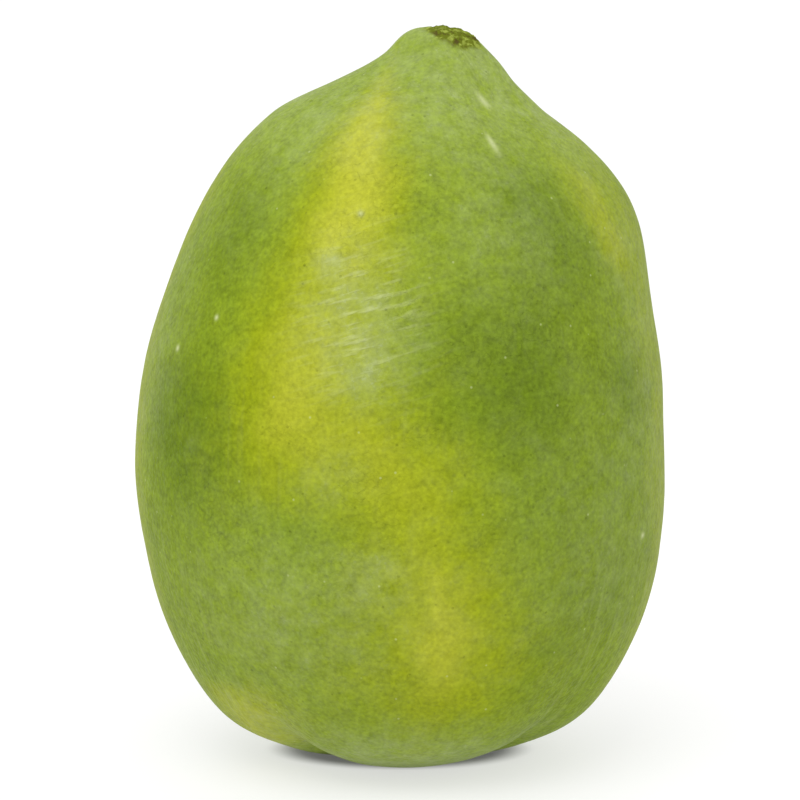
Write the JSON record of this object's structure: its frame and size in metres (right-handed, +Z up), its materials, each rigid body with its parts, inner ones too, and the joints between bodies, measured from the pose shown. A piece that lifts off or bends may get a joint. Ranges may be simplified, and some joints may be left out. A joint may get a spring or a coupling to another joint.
{
  "type": "papaya",
  "caption": "Whole papaya: egg-shaped fruit with a short neck set to one side and soft lobes that meet in furrows at its base; stands upright on the base as food or set dressing.",
  "frame": {"origin": "centre of the fruit's outer box in X and Y, at the height of the surface it stands on", "axes": "+Z up from the blossom end to the stem scar, +X towards the side that the neck stands over to, -Y towards the front lobe with the yellow streaks"},
  "size_m": [0.1088, 0.1072, 0.1499],
  "materials": {
    "skin": "satin"
  },
  "bodies": {
    "root": {"papaya": "skin"}
  },
  "joints": []
}
